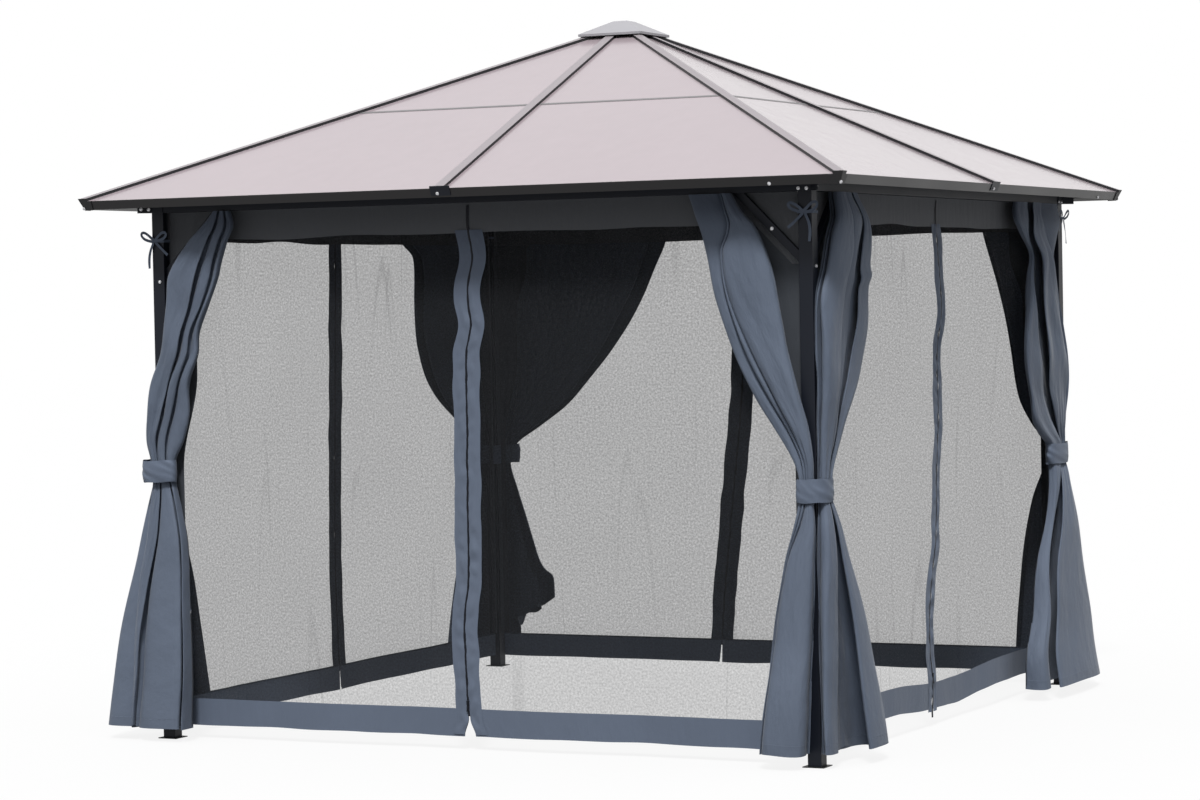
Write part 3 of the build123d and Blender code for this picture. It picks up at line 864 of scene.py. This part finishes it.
curtains["right_back"] = dict(
    turn=1, end=1, tie=0.985, skirt=0.155, rumpled=0.015, rolls=(1, 3, 0), behind=(2, 0.1, 0.84),
    edges=(
        (1.944, 0.05, 0.56), (1.88, 0.06, 0.589), (1.83, 0.1, 0.545), (1.74, 0.15, 0.42),
        (1.66, 0.155, 0.436), (1.53, 0.11, 0.48), (1.39, 0.05, 0.513), (1.26, 0.02, 0.49),
        (1.17, 0.02, 0.455), (1.09, 0.025, 0.42), (1.03, 0.03, 0.33), (0.985, 0.03, 0.235),
        (0.9, 0.03, 0.215), (0.8, 0.04, 0.235), (0.68, 0.018, 0.286), (0.526, -0.01, 0.4),
        (0.322, -0.07, 0.5), (0.181, -0.09, 0.59), (0.05, -0.12, 0.61)),
    folds=(
        (1.94, 0.29, 0.7, 0.26, 1.0, 0.6), (1.88, 0.29, 0.7, 0.26, 1.0, 0.6),
        (1.77, 0.06, 0.6, 0.68, 1.0, 0.5), (1.66, 0.09, 0.6, 0.88, 1.0, 0.5),
        (1.54, 0.2, 0.65, 0.77, 1.0, 0.5), (1.39, 0.31, 0.7, 0.66, 1.0, 0.5),
        (1.2, 0.39, 0.75, 0.58, 1.0, 0.5), (1.09, 0.55, 0.85, 0.42, 1.0, 0.5),
        (0.98, 0.62, 1.0, 0.35, 0.7, 0.4), (0.86, 0.3, 0.85, 0.67, 1.0, 0.5),
        (0.7, 0.08, 0.6, 0.89, 1.0, 0.5), (0.5, 0.05, 0.62, 0.92, 0.98, 0.5),
        (0.32, 0.09, 0.7, 0.88, 0.96, 0.5), (0.18, 0.12, 0.7, 0.85, 0.96, 0.5),
        (0.05, 0.12, 0.7, 0.85, 0.96, 0.5)))
print("curtains so far:", len(curtains))

# %% Left and back curtains
curtains["left_front"] = dict(
    turn=3, end=1, tie=1.033, skirt=0.2, rumpled=0.015, behind=(5, 0.45, 0.9),
    edges=(
        (1.944, 0.26, 0.36), (1.86, 0.18, 0.345), (1.76, 0.1, 0.32), (1.6, 0.07, 0.29),
        (1.4, 0.05, 0.23), (1.2, 0.03, 0.15), (1.033, 0.0, 0.068), (0.952, 0.0, 0.068),
        (0.8, -0.02, 0.12), (0.65, -0.045, 0.21), (0.42, -0.08, 0.28), (0.15, -0.105, 0.36),
        (0.05, -0.112, 0.37)),
    folds=(
        (1.94, 0.34, 0.9, 0.4, 1.0, 0.7), (1.23, 0.34, 0.9, 0.4, 1.0, 0.7),
        (0.73, 0.3, 0.3, 0.3, 0.7, 1.0), (0.05, 0.3, 0.3, 0.3, 0.7, 1.0)))
curtains["left_back"] = dict(
    turn=3, end=-1, tie=0.97, behind=(2, 0.1, 0.8),
    edges=(
        (1.944, -0.02, 0.74), (1.853, -0.02, 0.71), (1.787, -0.02, 0.61), (1.525, -0.025, 0.585),
        (1.4, -0.028, 0.565), (1.28, -0.03, 0.51), (1.18, -0.03, 0.41), (1.1, -0.03, 0.28),
        (1.03, -0.03, 0.16), (0.97, -0.03, 0.09), (0.89, -0.03, 0.08), (0.7, -0.035, 0.13),
        (0.4, -0.035, 0.2), (0.05, -0.035, 0.25)),
    folds=(
        (1.94, 0.35, 0.8, 0.35, 1.0, 0.85), (1.2, 0.4, 0.8, 0.35, 1.0, 0.85),
        (0.67, 0.3, 0.8, 0.4, 1.0, 0.9), (0.05, 0.2, 0.8, 0.5, 1.0, 0.7)))
curtains["back_right"] = dict(
    turn=2, end=-1, tie=0.985,
    edges=(
        (1.944, 0.03, 0.345), (1.83, 0.03, 0.32), (1.56, 0.02, 0.25), (1.38, 0.01, 0.215),
        (1.17, 0.0, 0.18), (1.05, 0.0, 0.12), (0.985, 0.0, 0.07), (0.9, 0.0, 0.07), (0.75, -0.005, 0.13),
        (0.58, -0.01, 0.17), (0.35, -0.01, 0.2), (0.05, -0.01, 0.23)),
    folds=(
        (1.94, 0.3, 0.9, 0.4, 1.0, 0.8), (1.2, 0.35, 0.9, 0.4, 1.0, 0.8),
        (0.68, 0.3, 0.9, 0.45, 1.0, 0.8), (0.05, 0.2, 0.9, 0.5, 1.0, 0.6)))
curtains["back_left"] = dict(
    turn=2, end=1, tie=0.97, behind=(2, 0.1, 0.8), raised=0.25,
    edges=(
        (1.944, 0.03, 0.8), (1.87, 0.03, 0.835), (1.73, 0.02, 0.78), (1.59, 0.02, 0.706),
        (1.38, 0.01, 0.563), (1.24, 0.01, 0.44), (1.14, 0.005, 0.341), (1.05, 0.0, 0.21),
        (0.97, -0.01, 0.09), (0.89, -0.01, 0.06), (0.78, -0.01, 0.085), (0.6, -0.01, 0.138),
        (0.4, -0.01, 0.195), (0.28, -0.01, 0.228), (0.05, -0.01, 0.24)),
    folds=(
        (1.94, 0.3, 0.8, 0.4, 1.0, 0.85), (1.2, 0.4, 0.8, 0.35, 1.0, 0.85),
        (0.67, 0.3, 0.8, 0.4, 1.0, 0.9), (0.05, 0.3, 0.8, 0.4, 1.0, 0.9)))
print("curtains in all:", len(curtains))

# %% [markdown]
# ## Folds that the tie pulls in
# The long folds come from the tables. A tie also puckers the cloth above and below it into narrow
# ridges that fade within a hand's width, and the loose skirt bulges a little. Both are noise that
# follows the cloth's own width, so the ridges run together where the curtain narrows. Behind each
# knee brace the last of the cloth lies flat against the net, and that is a small sheet of its own.

# %% Hang the curtains
brace_foot = 1.7
tail_out = 1.2795
tail_near = 0.03
tail_slack = 0.035
tail_ripple = 0.0016
track_face = 1.303
brace_clear = 0.016
skirt_clear = 0.01
bundle_depth = 0.045
waist_depth = 0.032
pinch_fade = 0.15
pinch_depth = 0.011
kink_height = 1.61
kink_slope = 0.05
kink_fade = 0.022


def drape(height, tie, skirt):
    """Inner face and depth of a curtain at a height."""
    inner = track_face + brace_clear * smooth(curtain_top, 1.84, height)
    inner += skirt_clear * smooth(tie, 0.1, height)
    upper = bundle_depth + 0.012 * smooth(1.93, 1.6, height) - 0.025 * smooth(1.35, tie, height)
    flare = min(1.0, max(0.0, (tie - tie_height - height) / (tie - tie_height - hem_height)))
    return inner, upper + (skirt - waist_depth) * flare ** 0.75


def tail_behind_brace(name, turn, end):
    """The flat cloth between a post, its beam and the brace, on the net's side of the brace."""
    def place(u, v):
        height = between(brace_foot, curtain_top, v)
        reach = tail_near + u * (height - brace_foot + tail_slack)
        ripple = waver(u * 9.0 + v * 3.0, v * 2.0, turn * 3.0 + end)
        return on_side(turn, end * (post_half_span - reach), tail_out + tail_ripple * ripple, height)

    tall = curtain_top - brace_foot
    # The tail is curtain cloth, but it wears the darker valance cloth as painted shade behind the brace
    return sheet_from("tail_" + name, (tall, tall), (40, 24), place, valance_cloth_with_painted_shade)


def hang_curtain(name, turn, end, tie, edges, folds, skirt=0.115, rolls=(0, 0, 0), behind=(5, 0.1, 0.84),
                 raised=0.0, kink=0.0, rumpled=0.007):
    """One curtain. skirt is its depth at the hem, and behind gives the passes packed behind the pleats
    and the shares of the width between which they lie. raised lifts the free corner of the hem, kink
    bends the free edge under the brace, and rumpled crumples the cloth above the tie.
    """
    count, low, high = behind
    cells_across, cells_up = curtain_cells
    seed = turn * 5.0 + end * 2.0

    def line_at(height):
        loose = smooth(tie + 0.1, tie - 0.3, height)
        front = pleats(at_height(folds, height), rolls)
        near = between(0.04, low, loose)
        far = between(0.92, high, loose)
        return front + packed(count, near, far, between(0.3, 0.1, loose))

    shares = even_shares(line_at(tie + 0.4), 0.3, 0.1, cells_across)
    levels = []
    for j in range(cells_up + 1):
        height = between(hem_height, curtain_top, j / cells_up)
        line = line_at(height)
        row = [spline_point(line, share) for share in shares]
        levels.append((height, at_height(edges, height), drape(height, tie, skirt), row))

    def place(u, v):
        height, (near, far), (inner, depth), row = levels[round(v * cells_up)]
        across, proud = row[round(u * cells_across)]
        cloth = u * curtain_flat[0]
        drop = tie - tie_height / 2 - height
        pinch = math.exp(-abs(drop) / pinch_fade) * (0.55 if drop > 0 else 1.0)
        ridge = 0.45 - 1.8 * abs(waver(cloth * 24.0, height * 1.5, seed + 9.0))
        crumple = waver(cloth * 7.0, height * 3.0, seed)
        rumple = waver(cloth * 16.0, height * 5.0, seed + 70.0) * smooth(-0.05, -0.3, drop)
        bulge = waver(cloth * 3.0, height * 2.2, seed + 30.0) * smooth(0.05, 0.35, drop)
        wander = waver(cloth * 2.0, height * 5.0, seed + 60.0)
        free = smooth(curtain_top, curtain_top - 0.15, height)
        bent = math.exp(-((height - kink_height - kink_slope * across) / kink_fade) ** 2)
        bent = bent * smooth(0.5, 0.8, across)
        out = inner + (depth + kink * bent + 0.02 * bulge) * proud + pinch_depth * pinch * ridge
        out += free * (0.009 * crumple + rumpled * rumple)
        reach = between(near, far, across) + 0.004 * pinch * ridge + 0.005 * free * (1 - pinch) * wander
        corner = 0.68 * smooth(0.22, 0.34, across) + 0.32 * smooth(0.45, 1.0, across)
        lift = (0.012 * crumple + raised * corner) * smooth(0.5, 0.05, height)
        return on_side(turn, end * (post_half_span - reach), max(inner, out), height + lift)

    piece = sheet_from("cloth_" + name, curtain_flat, curtain_cells, place, curtain_cloth)
    tail = tail_behind_brace(name, turn, end)
    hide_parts("curtain_" + name)
    print(name, "area share", area_share(piece, curtain_flat))


for curtain_name, curtain in curtains.items():
    hang_curtain(curtain_name, **curtain)

# %% [markdown]
# ## Tie bands
# A cloth band goes round the post and both of its curtains and is pulled tight, so it crumples. In
# plan it is a closed line whose ends meet behind the post.

# %% Tie bands
corner_names = ("front_right", "back_right", "back_left", "front_left")
tie_cells = (160, 14)
# In plan, from the middle of the post
band_lines = {
    "front_right": (
        (0.0, -0.031), (-0.034, -0.03), (-0.036, 0.025), (-0.039, 0.045), (-0.033, 0.064),
        (-0.01, 0.068), (0.022, 0.067), (0.046, 0.055), (0.062, 0.028), (0.066, -0.01), (0.062, -0.04),
        (0.048, -0.052), (0.028, -0.046), (0.0, -0.031)),
    "back_right": (
        (0.0, -0.031), (-0.034, -0.03), (-0.05, 0.0), (-0.13, 0.01), (-0.215, 0.018), (-0.245, 0.036),
        (-0.225, 0.06), (-0.15, 0.069), (-0.07, 0.066), (-0.02, 0.05), (0.018, 0.034), (0.034, 0.01),
        (0.052, -0.03), (0.075, -0.055), (0.06, -0.085), (0.03, -0.074), (0.0, -0.031)),
    "back_left": (
        (0.0, -0.031), (-0.034, -0.03), (-0.085, 0.03), (-0.1, 0.055), (-0.09, 0.075), (-0.03, 0.08),
        (0.02, 0.078), (0.055, 0.062), (0.077, 0.03), (0.08, -0.04), (0.077, -0.09), (0.06, -0.105),
        (0.035, -0.09), (0.0, -0.031)),
    "front_left": (
        (0.0, -0.031), (-0.034, -0.03), (-0.07, 0.03), (-0.076, 0.055), (-0.066, 0.077), (-0.02, 0.081),
        (0.03, 0.08), (0.062, 0.068), (0.079, 0.03), (0.08, -0.03), (0.077, -0.065), (0.06, -0.078),
        (0.035, -0.07), (0.0, -0.031)),
}


def tie_band(corner):
    turn = corner_names.index(corner)
    line = band_lines[corner]
    top = curtains[corner]["tie"]
    steps = 200
    marks = [spline_point(line, i / steps) for i in range(steps + 1)]
    length = sum(math.dist(a, b) for a, b in zip(marks, marks[1:]))

    def place(u, v):
        here = spline_point(line, u)
        wave = waver(u * 16.0 + v * 3.5, v * 2.2, turn * 4.0)
        edge = waver(u * 6.0, 5.0, turn * 4.0)
        grow = 1.0 + 0.045 * wave + 0.04 * math.sin(math.pi * v)
        height = between(top - tie_height, top, v) + 0.006 * edge + 0.003 * wave
        x = post_half_span + here[0] * grow
        out = post_half_span + here[1] * grow
        return on_side(turn, x, out, height)

    piece = sheet_from("tie_" + corner, (length, tie_height), tie_cells, place, trim_cloth)
    return piece


ties = [tie_band(corner) for corner in corner_names]
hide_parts("tie_bands")
print("tie bands:", len(ties))

# %% [markdown]
# ## Bolts
# The frame is held by small zinc-plated bolts: in the fascia, in the knee braces and posts, and in the
# fins under the eave corners. One bolt head is modelled with a washer and a socket, and copied.
# Each copy is put where a ray from outside meets the frame, so that it sits flat on what carries it.

# %% One bolt head
def pick_faces(piece, wanted):
    """Selects, in edit mode, the faces for which wanted(face) is true."""
    bpy.ops.object.mode_set(mode="EDIT")
    bpy.ops.mesh.select_mode(type="FACE")
    bpy.ops.mesh.select_all(action="DESELECT")
    bpy.ops.object.mode_set(mode="OBJECT")
    for face in piece.data.polygons:
        face.select = wanted(face)
    bpy.ops.object.mode_set(mode="EDIT")


def draw_out(shift):
    """Extrudes the picked faces and moves them."""
    bpy.ops.mesh.extrude_region_move(TRANSFORM_OT_translate={"value": shift})


def put_copy(source, name, turned):
    """A copy with a mesh of its own, moved by a matrix."""
    copy = source.copy()
    copy.data = source.data.copy()
    copy.name = name
    bpy.context.collection.objects.link(copy)
    copy.data.transform(turned)
    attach(copy, "root")
    return copy


def zinc_finish():
    zinc = Paint("bolt_zinc", {"Specular IOR Level": 0.5})
    place = zinc.place()
    broad = zinc.noise(place, 60.0)
    fine = zinc.noise(place, 900.0, 1.0)
    return zinc.feed(
        Base_Color=zinc.shade((0.72, 0.72, 0.74), broad.around(1.0, 0.2)),
        Metallic=broad.around(0.65, 0.2),
        Roughness=fine.around(0.34, 0.2),
        Normal=zinc.bump(fine * peel_height),
    )


washer_radius = 0.0062
washer_thickness = 0.0011
washer_rim = 0.0015
head_height = 0.0028
head_slope = 0.0009
head_crown = 0.0008
socket_rim = 0.001
socket_depth = 0.002
smooth_angle = math.radians(40)
bpy.ops.mesh.primitive_cylinder_add(
    vertices=18, radius=washer_radius, depth=washer_thickness, location=(0, 0, washer_thickness / 2))
bpy.ops.object.transform_apply(location=True, rotation=True, scale=True)
bolt = bpy.context.object
pick_faces(bolt, lambda face: face.normal.z > 0.9)
bpy.ops.mesh.inset(thickness=washer_rim)
draw_out((0, 0, head_height))
bpy.ops.mesh.inset(thickness=head_slope)
bpy.ops.transform.translate(value=(0, 0, head_crown))
bpy.ops.mesh.inset(thickness=socket_rim)
draw_out((0, 0, -socket_depth))
bpy.ops.object.mode_set(mode="OBJECT")
bpy.ops.object.shade_smooth_by_angle(angle=smooth_angle)
bolt.data.materials.append(zinc_finish())
print("bolt faces:", len(bolt.data.polygons))

# %% Where the bolts go
soft_starts = ("curtain_", "net_wall_", "tie_")
bolt_nodes = [node for name, node in nodes.items() if not name.startswith(soft_starts)]
ray_length = 0.5
bolt_miss = 0.12
# Along the side, out and up
side_bolts = (
    (-0.012, 1.5, 1.972), (1.24, 1.5, 1.965), (-1.492, 1.5, 1.963), (1.165, 1.302, 1.82),
    (-1.287, 1.318, 1.69), (1.271, 1.33, 1.953), (1.301, 1.34, 1.952), (-1.343, 1.33, 1.958),
    (-1.323, 1.32, 1.957),
)


def nearest_face(point, towards):
    """The first frame face met on the way from outside to a point: its place and normal."""
    start = point - towards * ray_length
    best = None
    for node in bolt_nodes:
        hit, place, normal = node.ray_cast(start, towards)[:3]
        if hit and (best is None or (place - start).length < (best[0] - start).length):
            best = (place, normal)
    return best


bolts = []
for turn in range(4):
    for along, out, height in side_bolts:
        point = on_side(turn, along, out, height)
        towards = on_side(turn, 0.0, -1.0, 0.0)
        met = nearest_face(point, towards)
        if met is None or (met[0] - point).length > bolt_miss:
            continue
        turned = met[1].to_track_quat("Z", "Y").to_matrix().to_4x4()
        bolts.append(put_copy(bolt, "bolt_%02d" % len(bolts), Matrix.Translation(met[0]) @ turned))
bpy.data.objects.remove(bolt)
print("bolts placed:", len(bolts))

# %% [markdown]
# ## Bow tapes
# A narrow cloth tape goes round each post under the beam and is tied in a bow. The bow is a ribbon
# along one smooth line through both loops and both ends.

# %% Bow tapes
tape_width = 0.01
tape_half = 0.0275
tape_ring = ((-1, 0), (-1, 1), (0, 1), (1, 1), (1, 0), (1, -1), (0, -1), (-1, -1), (-1, 0))
tape_curl = 0.0015
bow_stand = 0.0255
# Side, end of that side, height and shift along it
bow_places = {
    "front_right": (0, 1, 1.873, 0.0),
    "back_right": (1, 1, 1.885, 0.015),
    "back_left": (2, 1, 1.875, 0.0),
    "front_left": (0, -1, 1.84, -0.01),
}
# Along, up and out from the knot
bow_line = (
    (-0.058, -0.052, 0.01), (-0.036, -0.034, 0.007), (-0.012, -0.012, 0.006), (0.0, 0.0, 0.007),
    (-0.016, 0.016, 0.011), (-0.04, 0.034, 0.015), (-0.058, 0.03, 0.014), (-0.05, 0.012, 0.011),
    (-0.022, 0.002, 0.008), (0.0, 0.0, 0.009), (0.018, 0.02, 0.012), (0.04, 0.036, 0.016),
    (0.056, 0.028, 0.015), (0.044, 0.008, 0.012), (0.018, 0.0, 0.009), (0.0, -0.002, 0.008),
    (0.016, -0.026, 0.007), (0.024, -0.062, 0.009), (0.02, -0.1, 0.012),
)


def bow(corner):
    turn, end, height, shift = bow_places[corner]
    middle = post_half_span * end
    face = post_half_span + bow_stand
    line = [(middle + shift + end * x, face + out, height + z) for x, z, out in bow_line]
    length = sum(math.dist(a, b) for a, b in zip(line, line[1:]))

    def knot_place(u, v):
        along, out, up = spline_point(line, v)
        ahead = spline_point(line, min(1.0, v + 0.01))
        behind = spline_point(line, max(0.0, v - 0.01))
        run = ahead[0] - behind[0]
        rise = ahead[2] - behind[2]
        size = max(1e-6, math.hypot(run, rise))
        aside = (u - 0.5) * tape_width
        curl = tape_curl * math.sin(v * 40.0) * (u - 0.5)
        return on_side(turn, along - aside * rise / size, out + curl, up + aside * run / size)

    def wrap_place(u, v):
        x, out = spline_point(tape_ring, u)
        grow = tape_half / max(abs(x), abs(out))
        up = height + (v - 0.5) * tape_width
        return on_side(turn, middle + x * grow, post_half_span + out * grow, up)

    knot = sheet_from("bow_" + corner, (tape_width, length), (2, 160), knot_place, trim_cloth)
    wrap = sheet_from("tape_" + corner, (8 * tape_half, tape_width), (64, 2), wrap_place, trim_cloth)


for corner in corner_names:
    bow(corner)
print("bows:", len(corner_names))

# %% [markdown]
# ## Zip pulls
# Each zip ends at the hem in a small slider with a flat pull. It starts as a box of the slider's size,
# and the pull is drawn out of its lower face.

# %% Zip pulls
slider_size = (0.010, 0.005, 0.014)
slider_stand = 0.0075
slider_round = 0.0006
neck_rim = 0.0014
neck_shift = (0, -0.001, -0.006)
neck_scale = (1.25, 0.7, 1.0)
pull_shift = (0, -0.0015, -0.018)
bpy.ops.mesh.primitive_cube_add(size=1.0, scale=slider_size)
bpy.ops.object.transform_apply(location=True, rotation=True, scale=True)
slider = bpy.context.object
pick_faces(slider, lambda face: face.normal.z < -0.9)
bpy.ops.mesh.inset(thickness=neck_rim)
draw_out(neck_shift)
bpy.ops.transform.resize(value=neck_scale)
draw_out(pull_shift)
bpy.ops.object.mode_set(mode="OBJECT")
soften = slider.modifiers.new("soft_edges", "BEVEL")
soften.width = slider_round
soften.segments = 2
bpy.ops.object.modifier_apply(modifier="soft_edges")
bpy.ops.object.shade_smooth_by_angle(angle=smooth_angle)
slider.data.materials.append(zip_black)
for turn, side in enumerate(side_names):
    height = pull_heights[turn]
    along = at_height(zip_lines[side], height)[0]
    place = on_side(turn, along, net_out + wall_sway(turn, along, height) + slider_stand, height)
    quarters = Matrix.Rotation(turn * TAU / 4, 4, "Z")
    put_copy(slider, "zip_pull_" + side, Matrix.Translation(place) @ quarters)
bpy.data.objects.remove(slider)
print("zip pulls:", len(side_names))

# %% Print the sizes and finish
visual_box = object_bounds()
boxes = {"cad": [list(map(float, c)) for c in cad_box], "visual": [list(map(float, c)) for c in visual_box]}
print("CAD box", boxes["cad"])
print("visual box", boxes["visual"])
